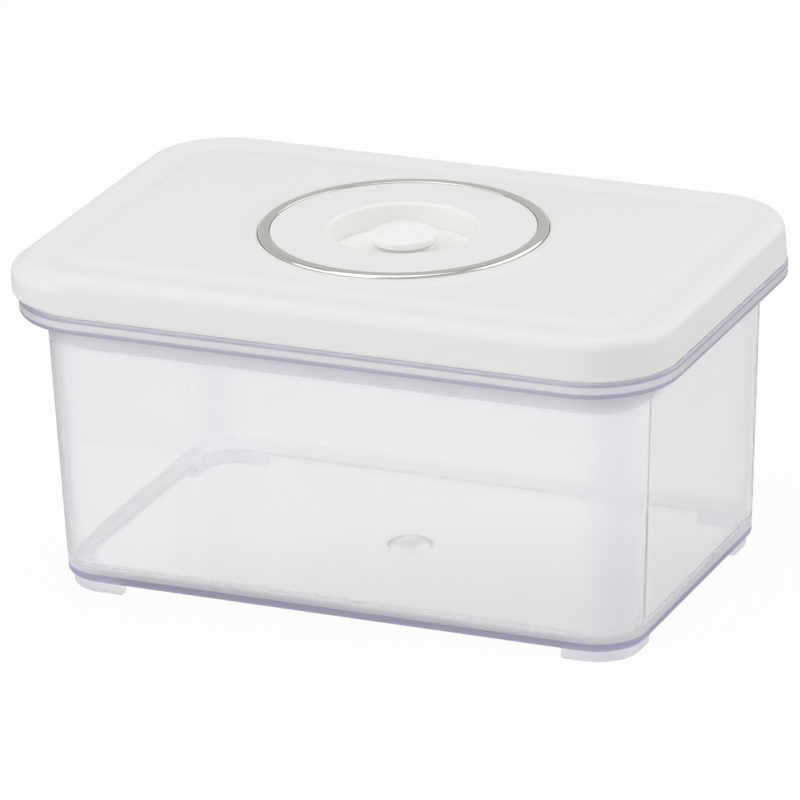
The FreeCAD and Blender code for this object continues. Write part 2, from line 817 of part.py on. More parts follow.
def main():
    """Builds every sub-part, checks the document and writes one file per sub-part."""
    bodies = [
        make_tub(),
        make_lid_shell(),
        make_trim_ring(),
        make_pump_seat(),
        make_valve_plate(),
        make_plate_seal(),
        make_lid_liner(),
        make_lid_gasket(),
        make_valve_button(),
        make_valve_seal(),
        make_valve_spring(),
        make_valve_retainer(),
    ]
    doc.recompute()
    failed = [thing.Name for thing in doc.Objects if "Invalid" in thing.State or "Error" in thing.State]
    if failed:
        raise RuntimeError(f"failed features: {failed}")
    for body in bodies:
        if body.Shape.isNull() or not body.Shape.isValid() or not body.Shape.Solids:
            raise RuntimeError(f"no sound solid: {body.Label}")
    os.makedirs("parts", exist_ok=True)
    for body in bodies:
        body.Shape.exportStep(f"parts/{body.Label}.step")
        box = body.Shape.optimalBoundingBox()
        print(f"{body.Label}: {len(body.Shape.Solids)} solid, {body.Shape.Volume:.1f} mm3,"
              f" z {box.ZMin:.2f} to {box.ZMax:.2f}, x {box.XMin:.2f} to {box.XMax:.2f}")


main()
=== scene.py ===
"""Looks of a vacuum seal canister: a clear tub, and a white lid with a bright ring and a lift valve.

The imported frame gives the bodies, the joints and the outer sizes. Each piece here is a smooth surface
worked out on a grid, and stands for one node of the frame. Lengths are in millimetres until a mesh is made,
with +X along the tub, away from the pull lip, +Z up and the origin under the tub. The studio's are in metres.
"""
from __future__ import annotations

import json
import logging
import math
from dataclasses import dataclass, field
from enum import Enum
from typing import Any

import bmesh
import bpy
import numpy as np
from mathutils import Matrix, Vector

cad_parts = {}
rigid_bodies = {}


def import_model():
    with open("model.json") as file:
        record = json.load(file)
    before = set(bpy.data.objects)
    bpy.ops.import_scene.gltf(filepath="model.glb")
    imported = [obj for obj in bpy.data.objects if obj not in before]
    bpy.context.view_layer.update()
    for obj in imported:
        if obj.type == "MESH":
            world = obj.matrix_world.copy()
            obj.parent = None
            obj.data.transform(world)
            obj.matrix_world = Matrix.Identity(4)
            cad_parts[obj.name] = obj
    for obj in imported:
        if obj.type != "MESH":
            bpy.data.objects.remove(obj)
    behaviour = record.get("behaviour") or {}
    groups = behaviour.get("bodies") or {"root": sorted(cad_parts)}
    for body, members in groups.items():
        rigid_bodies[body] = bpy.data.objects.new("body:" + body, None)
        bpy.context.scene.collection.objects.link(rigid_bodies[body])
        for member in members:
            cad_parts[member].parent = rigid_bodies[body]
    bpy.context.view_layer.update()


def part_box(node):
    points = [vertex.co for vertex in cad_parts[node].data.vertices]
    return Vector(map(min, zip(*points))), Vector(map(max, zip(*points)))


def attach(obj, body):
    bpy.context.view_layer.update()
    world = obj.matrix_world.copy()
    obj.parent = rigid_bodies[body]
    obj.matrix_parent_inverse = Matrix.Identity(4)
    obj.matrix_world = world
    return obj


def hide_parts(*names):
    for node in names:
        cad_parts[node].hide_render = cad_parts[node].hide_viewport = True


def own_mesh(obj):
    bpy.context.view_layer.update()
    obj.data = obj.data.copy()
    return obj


LOG = logging.getLogger("canister")
MM = 0.001  # metres in a millimetre
WELD = 1e-6  # points nearer than this are one, in metres
FAR = 1000.0  # beyond every piece
RAMP_SPAN = 100.0  # height that a ramp runs over
SHARP = math.radians(38.0)  # an edge that bends more than this stays sharp
WHITE = (1.0, 1.0, 1.0, 1.0)

Colour = tuple[float, float, float]
Place = tuple[float, float, float]
Point = tuple[float, float]
Skin = tuple[np.ndarray, list[list[int]]]
Material = bpy.types.Material
Thing = bpy.types.Object


class Ends(Enum):
    """How a stack of loops is closed: its ends join each other, or each runs into a middle point."""

    JOINED = "joined"
    CAPPED = "capped"


@dataclass(frozen=True)
class NodeBox:
    """Lowest and highest corner of a node of the frame."""

    low: np.ndarray
    high: np.ndarray

    @classmethod
    def read(cls, node: str) -> NodeBox:
        """Reads the node's box from the frame."""
        low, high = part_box(node)
        return cls(np.array(low) / MM, np.array(high) / MM)

    @property
    def radius(self) -> float:
        """Half the box's width, which is the radius of a turned node."""
        return float(self.high[1] - self.low[1]) / 2

    @property
    def end(self) -> float:
        """How far the box reaches along +X."""
        return float(self.high[0])

    @property
    def foot(self) -> float:
        """Height of the lowest point."""
        return float(self.low[2])

    @property
    def top(self) -> float:
        """Height of the highest point."""
        return float(self.high[2])


# Profiles: rows of (reach, height)


def run(*corners: Point) -> np.ndarray:
    """Straight runs through the given points."""
    return np.array(corners, float)


def arc(centre: Point, radius: float, start: float, stop: float, steps: int) -> np.ndarray:
    """An arc: its centre plus the radius times the cosine and sine of even angles, given in degrees."""
    angle = np.radians(np.linspace(start, stop, steps + 1))
    return np.array(centre) + radius * np.stack([np.cos(angle), np.sin(angle)], axis=1)


def rounded(corner: Point, radius: float, start: float, stop: float, steps: int) -> np.ndarray:
    """The round of a square corner: an arc whose centre lies the radius inside the corner, both ways."""
    middle = np.radians((start + stop) / 2)
    return arc(corner - radius * np.sign([np.cos(middle), np.sin(middle)]), radius, start, stop, steps)


def s_bend(start: Point, stop: Point, steps: int = 16) -> np.ndarray:
    """A bend that is level at both ends: reach runs evenly and height follows half a cosine wave.

    Args:
        start: Reach and height of the first point.
        stop: Reach and height of the last point.
        steps: Number of steps between them.

    Returns:
        One row of reach and height per point.
    """
    share = np.linspace(0.0, 1.0, steps + 1)
    wave = (1.0 - np.cos(np.pi * share)) / 2
    return np.array(start) + (np.array(stop) - np.array(start)) * np.stack([share, wave], axis=1)


def eased(corners: list[tuple[float, float, float]], steps: int = 5) -> np.ndarray:
    """A closed outline whose corners are each eased by a round.

    At a corner c of radius r, the round leaves the two sides at points p and q, which lie
    r / tan(half the corner's angle) away, and follows the parabola (1-t)^2 p + 2t(1-t) c + t^2 q.

    Args:
        corners: Reach, height and round of each corner, in order round the outline.
        steps: Number of steps in each round.

    Returns:
        One row of reach and height per point.
    """
    place = np.array([corner[:2] for corner in corners], float)
    radius = np.array([corner[2] for corner in corners], float)
    before = np.roll(place, 1, axis=0) - place
    after = np.roll(place, -1, axis=0) - place
    before /= np.linalg.norm(before, axis=1, keepdims=True)
    after /= np.linalg.norm(after, axis=1, keepdims=True)
    half = np.arccos(np.clip((before * after).sum(axis=1), -1.0, 1.0)) / 2
    back = (radius / np.tan(half))[:, None]
    share = np.linspace(0.0, 1.0, steps + 1)[None, :, None]
    first, last = (place + before * back)[:, None], (place + after * back)[:, None]
    rounds = (1 - share) ** 2 * first + 2 * share * (1 - share) * place[:, None] + share ** 2 * last
    return rounds.reshape(-1, 2)


def flat_ring(box: NodeBox, bore: float, bore_ease: float, edge_ease: float) -> np.ndarray:
    """Outline of a flat ring that fills a node's box, with eased corners."""
    low = [(bore, box.foot, bore_ease), (box.radius, box.foot, edge_ease)]
    return eased(low + [(box.radius, box.top, edge_ease), (bore, box.top, bore_ease)])


# Paths that profiles are carried round


@dataclass(frozen=True)
class Track:
    """The round-cornered rectangle that the tub and the lid are carried round.

    Every outline of theirs is the same core rectangle grown outwards: place = core + reach * outward.
    Columns stand in the four bends and along the sides, and twice at each end of a foot, so that its ends
    are upright.
    """

    half_length: float
    half_width: float
    spread: float = 20.0
    foot_run: float = 0.0
    bend_steps: int = 16
    side_steps: int = 34
    core: np.ndarray = field(init=False)
    outward: np.ndarray = field(init=False)
    footed: np.ndarray = field(init=False)

    def __post_init__(self) -> None:
        """Lays out the columns, bend by bend and side by side, anticlockwise from the right."""
        corner = np.array([[1, 1], [-1, 1], [-1, -1], [1, -1]]) * (self.half_length, self.half_width)
        core, outward, footed = [], [], []
        for number in range(4):
            angle = np.radians(90.0 * number + np.linspace(0.0, 90.0, self.bend_steps + 1))
            core.append(np.repeat(corner[number][None], angle.size, axis=0))
            outward.append(np.stack([np.cos(angle), np.sin(angle)], axis=1))
            footed.append(np.ones(angle.size))
            places, on_foot = self.side(number % 2 == 0)
            ahead = corner[(number + 1) % 4] - corner[number]
            middle = (corner[(number + 1) % 4] + corner[number]) / 2
            core.append(middle + places[:, None] * ahead / np.linalg.norm(ahead))
            outward.append(np.repeat(outward[-1][-1:], places.size, axis=0))
            footed.append(on_foot)
        for name, columns in (("core", core), ("outward", outward), ("footed", footed)):
            object.__setattr__(self, name, np.concatenate(columns))

    def side(self, long: bool) -> tuple[np.ndarray, np.ndarray]:
        """Columns along one side, at even angles as seen from the middle of the track.

        Args:
            long: Whether this is a long side.

        Returns:
            Places along the side from its middle, and 1 or 0 for columns on a foot or off it.
        """
        half, across = self.half_length, self.half_width
        if not long:
            half, across = across, half
        half, across = half - self.foot_run, across + self.spread
        widest = math.atan2(half, across)
        steps = self.side_steps if long else self.side_steps // 2
        places = across * np.tan(np.linspace(-widest, widest, steps + 1)[1:-1])
        if not self.foot_run:
            return places, np.zeros(places.size)
        on_foot = np.concatenate([[1, 0], np.zeros(places.size), [0, 1]])
        return np.concatenate([[-half, -half], places, [half, half]]), on_foot

    def carry(self, profile: np.ndarray) -> np.ndarray:
        """Carries a profile round the track: core + reach * outward, at the height of each row."""
        return raised(self.core[None] + profile[:, :1, None] * self.outward[None], profile)

    def turn(self, profile: np.ndarray) -> np.ndarray:
        """Turns a profile about the upright axis, with columns in the directions of the track's own."""
        ray = self.core + self.spread * self.outward
        return turned(profile, ray / np.linalg.norm(ray, axis=1, keepdims=True))


def raised(flat: np.ndarray, profile: np.ndarray) -> np.ndarray:
    """Lifts each level loop to the height of its row in the profile."""
    return np.concatenate([flat, np.broadcast_to(profile[:, None, 1:], (*flat.shape[:2], 1))], axis=2)


def turned(profile: np.ndarray, rays: np.ndarray) -> np.ndarray:
    """Places each row of radius and height along each level direction: (radius * ray, height)."""
    return raised(profile[:, :1, None] * rays[None], profile)


def lathe(profile: np.ndarray, columns: int = 192) -> np.ndarray:
    """Turns a profile about the upright axis, with evenly spaced columns."""
    angle = np.linspace(0.0, 2 * np.pi, columns, endpoint=False)
    return turned(profile, np.stack([np.cos(angle), np.sin(angle)], axis=1))


def skin(loops: np.ndarray, ends: Ends) -> Skin:
    """Joins a stack of loops with a skin of quads.

    Args:
        loops: Loops of equally many points.
        ends: How the first and the last loop are closed.

    Returns:
        The points, and the faces as lists of point numbers.
    """
    rows, columns = loops.shape[:2]
    number = np.arange(rows * columns).reshape(rows, columns)
    beyond = np.roll(number, -1, axis=1)
    last = rows if ends is Ends.JOINED else rows - 1
    upper = np.roll(number, -1, axis=0)[:last]
    upper_beyond = np.roll(beyond, -1, axis=0)[:last]
    faces = np.stack([number[:last], beyond[:last], upper_beyond, upper], axis=2).reshape(-1, 4).tolist()
    points = loops.reshape(-1, 3)
    if ends is Ends.CAPPED:
        points = np.concatenate([points, loops[:1].mean(axis=1), loops[-1:].mean(axis=1)])
        middle = np.full(columns, rows * columns)
        faces += np.stack([beyond[0], number[0], middle], axis=1).tolist()
        faces += np.stack([number[-1], beyond[-1], middle + 1], axis=1).tolist()
    return points, faces


def make_piece(name: str, *skins: Skin) -> Thing:
    """Makes one object from closed skins, with its faces outwards and smooth where it is round.

    Args:
        name: Name of the piece.
        skins: Points and faces of each closed skin.

    Returns:
        The object, at the origin.
    """
    points, faces, offset = [], [], 0
    for skin_points, skin_faces in skins:
        points.append(skin_points * MM)
        faces += [[offset + corner for corner in face] for face in skin_faces]
        offset += len(skin_points)
    mesh = bpy.data.meshes.new(name)
    mesh.from_pydata(np.concatenate(points), [], faces)
    work = bmesh.new()
    work.from_mesh(mesh)
    bmesh.ops.remove_doubles(work, verts=work.verts, dist=WELD)
    bmesh.ops.recalc_face_normals(work, faces=work.faces)
    work.to_mesh(mesh)
    work.free()
    mesh.polygons.foreach_set("use_smooth", np.ones(len(mesh.polygons), bool))
    mesh.set_sharp_from_angle(angle=SHARP)
    piece = bpy.data.objects.new(name, mesh)
    bpy.context.scene.collection.objects.link(piece)
    weighted = piece.modifiers.new("even_flats", "WEIGHTED_NORMAL")
    weighted.keep_sharp = True
    return piece


# Finishes


class Value:
    """A shader socket that takes part in sums: each operator adds a Math node."""

    def __init__(self, graph: Graph, socket: bpy.types.NodeSocket) -> None:
        """Wraps an output socket of the graph."""
        self.graph = graph
        self.socket = socket

    def _math(self, operation: str, first: Any, second: Any) -> Value:
        """Adds one Math node on two values or numbers."""
        return self.graph.add("ShaderNodeMath", {"operation": operation}, {0: first, 1: second})

    def __add__(self, other: Any) -> Value:
        """Sum."""
        return self._math("ADD", self, other)

    def __sub__(self, other: Any) -> Value:
        """Difference."""
        return self._math("SUBTRACT", self, other)

    def __mul__(self, other: Any) -> Value:
        """Product."""
        return self._math("MULTIPLY", self, other)

    def __rsub__(self, other: Any) -> Value:
        """Difference from a number."""
        return self._math("SUBTRACT", other, self)

    __radd__ = __add__
    __rmul__ = __mul__

    def at_most(self, other: Any) -> Value:
        """The smaller of two values."""
        return self._math("MINIMUM", self, other)

    def clamped(self) -> Value:
        """The value held between 0 and 1."""
        return self.graph.add("ShaderNodeClamp", sockets={"Value": self})

    def above(self, limit: float, fade: float = 1.0) -> Value:
        """0 up to a limit and 1 from a fade beyond it, both in millimetres, for a length in metres."""
        return ((self - limit * MM) * (1.0 / (fade * MM))).clamped()

    def below(self, limit: float, fade: float = 1.0) -> Value:
        """0 from a limit on and 1 up to a fade before it, both in millimetres, for a length in metres."""
        return ((limit * MM - self) * (1.0 / (fade * MM))).clamped()


class Graph:
    """The shader nodes of a material or of the world."""

    def __init__(self, owner: Material | bpy.types.World) -> None:
        """Starts an empty graph.

        Args:
            owner: The material or world that the nodes belong to.
        """
        owner.use_nodes = True
        self.tree = owner.node_tree
        self.tree.nodes.clear()

    def add(self, kind: str, settings: dict[str, Any] | None = None,
            sockets: dict[Any, Any] | None = None, output: str | int = 0) -> Value:
        """Adds a node.

        Args:
            kind: Type of the node.
            settings: Properties of the node, set first; the stops of a ramp are (place, grey) pairs.
            sockets: Values or links of its input sockets, by name or number.
            output: Output socket that is handed back.

        Returns:
            The chosen output, or the first input for a node without outputs.
        """
        node = self.tree.nodes.new(kind)
        for name, setting in (settings or {}).items():
            if name == "stops":
                self._set_stops(node.color_ramp, setting)
            else:
                setattr(node, name, setting)
        for name, value in (sockets or {}).items():
            if isinstance(value, Value):
                self.tree.links.new(value.socket, node.inputs[name])
            else:
                node.inputs[name].default_value = value
        return Value(self, node.outputs[output] if node.outputs else node.inputs[0])

    @staticmethod
    def _set_stops(ramp: bpy.types.ColorRamp, stops: list[Point]) -> None:
        """Gives a ramp its stops.

        Args:
            ramp: The ramp, with two stops to begin with.
            stops: Place from 0 to 1 and grey of each stop.
        """
        while len(ramp.elements) < len(stops):
            ramp.elements.new(0.5)
        for element, (place, grey) in zip(ramp.elements, stops):
            element.position = place
            element.color = (grey, grey, grey, 1.0)

    def ray(self, kind: str) -> Value:
        """1 for light rays of a kind, such as Camera or Shadow, and 0 for others."""
        return self.add("ShaderNodeLightPath", output=f"Is {kind} Ray")

    def place(self) -> Value:
        """The piece's own place, in metres."""
        return self.add("ShaderNodeTexCoord", output="Object")

    def along(self, axis: str) -> Value:
        """The piece's own place along X, Y or Z, in metres."""
        return self.add("ShaderNodeSeparateXYZ", sockets={"Vector": self.place()}, output=axis)

    def noise(self, grain: float, detail: float) -> Value:
        """Noise in the piece's own place, about 0.5 on average, with grains of a size in millimetres."""
        sockets = {"Vector": self.place(), "Scale": 1.0 / (grain * MM), "Detail": detail}
        return self.add("ShaderNodeTexNoise", sockets=sockets)

    def beyond(self, half_length: float, half_width: float) -> Value:
        """How far the piece's own place lies outside a level rectangle about the origin.

        Args:
            half_length: Half the rectangle's length in millimetres.
            half_width: Half its width in millimetres.

        Returns:
            The length of the vector (max(|x| - half length, 0), max(|y| - half width, 0)), in metres.
        """
        none, half = (0.0, 0.0, 0.0), (half_length * MM, half_width * MM, 0.0)
        reach = self.place()
        for operation, other in (("MULTIPLY", (1.0, 1.0, 0.0)), ("ABSOLUTE", none),
                                 ("SUBTRACT", half), ("MAXIMUM", none)):
            reach = self.add("ShaderNodeVectorMath", {"operation": operation}, {0: reach, 1: other})
        return self.add("ShaderNodeVectorMath", {"operation": "LENGTH"}, {0: reach}, "Value")

    def bump(self, height: Value, depth: float) -> Value:
        """The normal, bent by a height from 0 to 1, where 1 stands for the depth in millimetres."""
        sockets = {"Strength": 1.0, "Distance": depth * MM, "Height": height}
        return self.add("ShaderNodeBump", sockets=sockets)

    def tint(self, share: Value, low: Colour | Value, high: Colour) -> Value:
        """Mixes two colours; a Mix node's colour sockets are its inputs 6 and 7 and its output 2."""
        start = low if isinstance(low, Value) else (*low, 1.0)
        return self.add("ShaderNodeMix", {"data_type": "RGBA"}, {0: share, 6: start, 7: (*high, 1.0)}, 2)


@dataclass(frozen=True)
class Finish:
    """A finish, which each kind draws in the graph of its own material."""

    name: str

    def draw(self, graph: Graph) -> dict[str, Value]:
        """Draws the finish and hands back what goes into the material's output."""
        raise NotImplementedError

    def make(self) -> Material:
        """Makes the material.

        Returns:
            The material, with its output connected.
        """
        material = bpy.data.materials.new(self.name)
        graph = Graph(material)
        graph.add("ShaderNodeOutputMaterial", sockets=self.draw(graph))
        return material


@dataclass(frozen=True)
class MouldedPlastic(Finish):
    """Opaque moulded plastic: a fine eroded grain and faint clouds in its colour and gloss.

    Where a radius is given, it is painted paler inside it round the upright axis: painted light that lifts
    the shade in the pump's well.
    """

    colour: Colour
    roughness: float = 0.42
    gloss_spread: float = 0.10
    cloud: float = 38.0
    cloud_depth: float = 0.014
    grain: float = 0.35
    grain_depth: float = 0.006
    detail: float = 3.0
    specular: float = 0.5
    translucence: float = 0.0
    glow_depth: float = 2.0
    glow_reach: Colour = (1.0, 1.0, 0.9)
    # radius and colour of the painted light that lifts the shade in the well
    painted_well_lift_radius: float = 0.0
    pale: Colour = (0.94, 0.94, 0.92)

    def draw(self, graph: Graph) -> dict[str, Value]:
        """Draws the plastic.

        Args:
            graph: Graph of the material.

        Returns:
            The material's surface.
        """
        clouds, grain = graph.noise(self.cloud, self.detail), graph.noise(self.grain, self.detail)
        shade = tuple(channel * (1.0 - self.cloud_depth) for channel in self.colour)
        colour = graph.tint(clouds, shade, self.colour)
        # painted light: a paler colour inside the well, standing for light that its recess doesn't get
        if self.painted_well_lift_radius:
            colour = graph.tint(graph.beyond(0.0, 0.0).below(self.painted_well_lift_radius), colour, self.pale)
        spread = self.gloss_spread / 2
        sockets = {
            "Base Color": colour,
            "Roughness": (clouds + grain) * spread + (self.roughness - spread),
            "Normal": graph.bump(grain, self.grain_depth),
            "Specular IOR Level": self.specular,
        }
        if self.translucence:
            sockets["Subsurface Weight"] = self.translucence
            sockets["Subsurface Radius"] = self.glow_reach
            sockets["Subsurface Scale"] = self.glow_depth * MM
        return {"Surface": graph.add("ShaderNodeBsdfPrincipled", sockets=sockets)}


@dataclass(frozen=True)
class Band:
    """A band of height on what reaches far enough beyond the tub's core rectangle."""

    low: float
    high: float
    reach: float
    fade: float = 0.25
    soft: float = 0.25

    def mark(self, graph: Graph, core: Point) -> Value:
        """Marks the band, which fades in about its foot and ends softly about its top.

        Args:
            graph: Graph of the material.
            core: Half the length and half the width of the core rectangle.

        Returns:
            1 on the band, 0 elsewhere.
        """
        foot, top = self.fade / 2, self.soft / 2
        stops = [(self.low - foot, 0.0), (self.low + foot, 1.0),
                 (self.high - top, 1.0), (self.high + top, 0.0)]
        height = graph.along("Z") * (1.0 / (RAMP_SPAN * MM))
        settings = {"stops": [(place / RAMP_SPAN, grey) for place, grey in stops]}
        band = graph.add("ShaderNodeValToRGB", settings, {0: height})
        return band * graph.beyond(*core).above(self.reach)


@dataclass(frozen=True)
class ClearPlastic(Finish):
    """Clear moulded plastic: it refracts, its faces are slightly wavy, and its thick edges, corners and feet
    carry painted violet-grey shade, standing for light dimmed and tinted on long paths through them.

    The skin is rougher on the rim, the corners, the feet, the lens, the heel where the floor meets the
    walls, and in front of the plug's lower edge. Light from lamps and from matt pieces passes each face as
    through a plain pane, so that what stands inside is lit.
    """

    core: Point
    colour: Colour = (0.992, 0.988, 1.0)
    index: float = 1.55
    least_roughness: float = 0.002
    haze: float = 0.03
    haze_grain: float = 9.0
    haze_detail: float = 3.0
    ripple: float = 26.0
    ripple_detail: float = 0.0
    ripple_depth: float = 0.05
    tint: Colour = (0.49, 0.48, 0.62)
    tint_density: float = 10.0
    clearness: float = 0.85
    pane: Colour = (0.99, 0.99, 0.99)
    # colour of the painted violet-grey shade on the thick edges, corners and feet, and its share on the rim
    # and under it
    painted_edge_violet: Colour = (0.36, 0.33, 0.56)
    rim_share: float = 0.59
    # share of the painted shadow on the wall just under the rim
    rim_shadow_share: float = 0.39
    base_share: float = 0.92
    # share of the painted violet-grey shade on the upright corners, its fade, and the corners' roughness
    corner_share: float = 0.05
    corner_fade: float = 9.0
    corner_roughness: float = 0.22
    edge_gleam: float = 0.37
    edge_roughness: float = 0.5
    plug_roughness: float = 0.45
    # share of the painted violet-grey shade on the feet, and the feet's height, fade and roughness
    foot_share: float = 0.1
    foot_height: float = 3.3
    foot_fade: float = 0.25
    foot_roughness: float = 0.35
    heel_height: float = 10.0
    heel_fade: float = 3.0
    heel_reach: float = 8.0
    heel_roughness: float = 0.6
    lens_reach: float = 8.0
    lens_fade: float = 1.0
    lens_roughness: float = 0.2
    # bands of painted violet-grey shade on the rim's lip and the base's edge, and bands of roughness
    low_edge: Band = Band(81.7, 83.35, 22.0)
    high_edge: Band = Band(85.3, 86.4, 22.0)
    gleam_edge: Band = Band(81.6, 86.4, 22.0)
    # painted shadow: the wall's band just under the rim is tinted darker, as if in the rim's shade
    rim_shadow_band: Band = Band(75.8, 81.7, 15.5, fade=5.2)
    plug_edge: Band = Band(76.0, 81.7, 15.2, fade=4.0)
    base_edge: Band = Band(3.2, 6.0, 12.4)

    def draw(self, graph: Graph) -> dict[str, Value]:
        """Draws the plastic.

        Args:
            graph: Graph of the material.

        Returns:
            The material's surface and the depth behind it.
        """
        low, high, gleam, root, plug, base = (band.mark(graph, self.core) for band in (
            self.low_edge, self.high_edge, self.gleam_edge, self.rim_shadow_band, self.plug_edge, self.base_edge))
        feet = graph.along("Z").below(self.foot_height, self.foot_fade)
        heel = graph.along("Z").below(self.heel_height, self.heel_fade)
        heel = heel * graph.beyond(*self.core).above(self.heel_reach)
        lens = graph.beyond(0.0, 0.0).below(self.lens_reach, self.lens_fade)
        ends = graph.beyond(self.core[0], FAR).above(0.0, self.corner_fade)
        corner = ends * graph.beyond(FAR, self.core[1]).above(0.0, self.corner_fade)
        entering = 1.0 - graph.add("ShaderNodeNewGeometry", output="Backfacing")
        # painted shade: violet-grey mixed into the colour on the rim, the base's edge (outer faces only), the
        # corners and the feet, standing for light dimmed and tinted on long paths through thick plastic
        painted_violet = ((low + high) * self.rim_share + root * self.rim_shadow_share + base * entering * self.base_share
                  + corner * self.corner_share + feet * self.foot_share)
        rough = (graph.noise(self.haze_grain, self.haze_detail) * self.haze + gleam * self.edge_roughness
                 + feet * self.foot_roughness + heel * self.heel_roughness + lens * self.lens_roughness
                 + corner * self.corner_roughness + plug * self.plug_roughness + self.least_roughness)
        shader = graph.add("ShaderNodeBsdfPrincipled", sockets={
            "Base Color": graph.tint(painted_violet, self.colour, self.painted_edge_violet),
            "Metallic": gleam * self.edge_gleam,
            "Roughness": rough,
            "IOR": self.index,
            "Transmission Weight": self.clearness,
            "Normal": graph.bump(graph.noise(self.ripple, self.ripple_detail), self.ripple_depth),
        })
        pane = graph.add("ShaderNodeBsdfTransparent", sockets={"Color": (*self.pane, 1.0)})
        passing = (graph.ray("Shadow") + graph.ray("Diffuse")).at_most(1.0)
        depth = {"Color": (*self.tint, 1.0), "Density": self.tint_density}
        return {
            "Surface": graph.add("ShaderNodeMixShader", sockets={0: passing, 1: shader, 2: pane}),
            "Volume": graph.add("ShaderNodeVolumeAbsorption", sockets=depth),
        }


@dataclass(frozen=True)
class BrightMetal(Finish):
    """Bare or plated metal: a smooth gloss with faint smudges and fine drawing marks."""

    colour: Colour
    roughness: float = 0.08
    smudge: float = 0.06
    smudge_grain: float = 7.0
    smudge_detail: float = 4.0
    dullness: float = 0.95
    mark: float = 0.12
    mark_detail: float = 2.0
    mark_depth: float = 0.0006

    def draw(self, graph: Graph) -> dict[str, Value]:
        """Draws the metal.

        Args:
            graph: Graph of the material.

        Returns:
            The material's surface.
        """
        smudge = graph.noise(self.smudge_grain, self.smudge_detail)
        dull = tuple(channel * self.dullness for channel in self.colour)
        return {"Surface": graph.add("ShaderNodeBsdfPrincipled", sockets={
            "Base Color": graph.tint(smudge, dull, self.colour),
            "Metallic": 1.0,
            "Roughness": smudge * self.smudge + self.roughness,
            "Normal": graph.bump(graph.noise(self.mark, self.mark_detail), self.mark_depth),
        })}


# Pieces


class Piece:
    """Work that every sub-assembly shares."""

    body: str

    def place(self, piece: Thing, node: str, slot: str, finish: Material, body: str = "") -> None:
        """Dresses a piece, puts it in place of its node and lets it ride on a body.

        Args:
            piece: The finished piece.
            node: Node of the frame that it stands for.
            slot: Not used.
            finish: Its material.
            body: Body that it rides on, where that isn't the sub-assembly's own.
        """
        carrier = body or self.body
        piece.data.materials.append(finish)
        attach(piece, carrier)
        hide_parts(node)
        LOG.info("%s: %d faces, on %s", piece.name, len(piece.data.polygons), carrier)


@dataclass
class Tub(Piece):
    """Clear tub: drafted wall, turned-down rim, corner feet and the lens in its floor."""

    finish: Material
    track: Track
    top: float
    rim: float
    overhang: float = 7.5
    lean: float = 3.3
    wall: float = 2.0
    wall_angle: float = -2.0
    floor: float = 2.6
    floor_round: float = 4.0
    base_round: float = 1.4
    rim_height: float = 4.7
    rim_ledge: float = 1.6
    rim_lip: float = 2.2
    rim_lip_ease: float = 0.3
    rim_channel_round: float = 0.6
    rim_top_round: float = 0.8
    rim_low_round: float = 1.2
    mouth_ease: float = 0.5
    foot: float = 3.4
    foot_inset: float = 1.6
    foot_band: float = 3.6
    foot_ease: float = 0.4
    gate: float = 6.5
    gate_depth: float = 1.0
    gate_dome: float = 0.8
    body: str = "tub"

    @property
    def mouth(self) -> float:
        """Reach of the wall's outside under the rim."""
        return self.rim - self.overhang

    @property
    def base(self) -> float:
        """Reach of the wall's outside at its foot."""
        return self.mouth - self.lean

    @property
    def level(self) -> float:
        """Height of the floor's top."""
        return self.foot + self.floor

    def underside(self) -> np.ndarray:
        """Underside from the lens to the wall: a level plate, let down to the table on a foot's columns.

        Returns:
            Loops of points; height = plate - drop * (1 on a foot's column, else 0), a drop for each row.
        """
        outer, ease = self.base - self.foot_inset, self.foot_ease
        inner = outer - self.foot_band
        reach = np.array([inner, inner, inner + ease, outer - ease, outer, outer])
        drop = np.array([0.0, self.foot - ease, self.foot, self.foot, self.foot - ease, 0.0])
        band = self.track.carry(np.stack([reach, np.full(reach.size, self.foot)], axis=1))
        band[..., 2] -= drop[:, None] * self.track.footed[None]
        recess = arc((0.0, 0.0), 1.0, 90.0, 0.0, 7) * (self.gate, self.gate_depth) + (0.0, self.foot)
        edge = rounded((self.base, self.foot), self.base_round, -90.0, self.wall_angle, 7)
        return np.concatenate([self.track.turn(recess[1:]), band, self.track.carry(edge)])

    def outside(self) -> np.ndarray:
        """Outside of the rim, from the wall's head round the channel behind the lip to the rim's top.

        Returns:
            Rows of reach and height.
        """
        under, channel = self.top - self.rim_height, self.top - self.rim_ledge
        lip, ease = self.rim - self.rim_lip, self.rim_lip_ease
        return np.concatenate([
            rounded((self.mouth, channel), self.rim_channel_round, 180.0, 90.0, 4),
            rounded((lip, channel), self.rim_channel_round, 90.0, 0.0, 4),
            run((lip, under + ease), (lip + ease, under)),
            rounded((self.rim, under), self.rim_low_round, -90.0, 0.0, 7),
            rounded((self.rim, self.top), self.rim_top_round, 0.0, 90.0, 6),
        ])

    def inside(self) -> np.ndarray:
        """Inside, from the rim's inner edge down the wall and round into the floor.

        Returns:
            Rows of reach and height.
        """
        mouth, foot = self.mouth - self.wall, self.base - self.wall
        slope = math.degrees(math.atan2(self.lean, self.top - self.level))
        swing = self.floor_round
        centre = foot + swing * math.tan(math.radians(slope / 2)) - swing
        return np.concatenate([
            rounded((mouth, self.top), self.mouth_ease, 90.0, 180.0 - slope, 5),
            arc((centre, self.level + swing), swing, -slope, -90.0, 10),
        ])

    def build(self) -> None:
        """Builds the tub as one closed skin, from the lens under its floor to the lens on top of it."""
        dome = s_bend((self.gate, self.level), (0.0, self.level + self.gate_dome))[:-1]
        loops = np.concatenate([
            self.underside(),
            self.track.carry(self.outside()),
            self.track.carry(self.inside()),
            self.track.turn(dome),
        ])
        piece = make_piece("clear_tub", skin(loops, Ends.CAPPED))
        self.place(piece, "tub", "clear_plastic", self.finish)


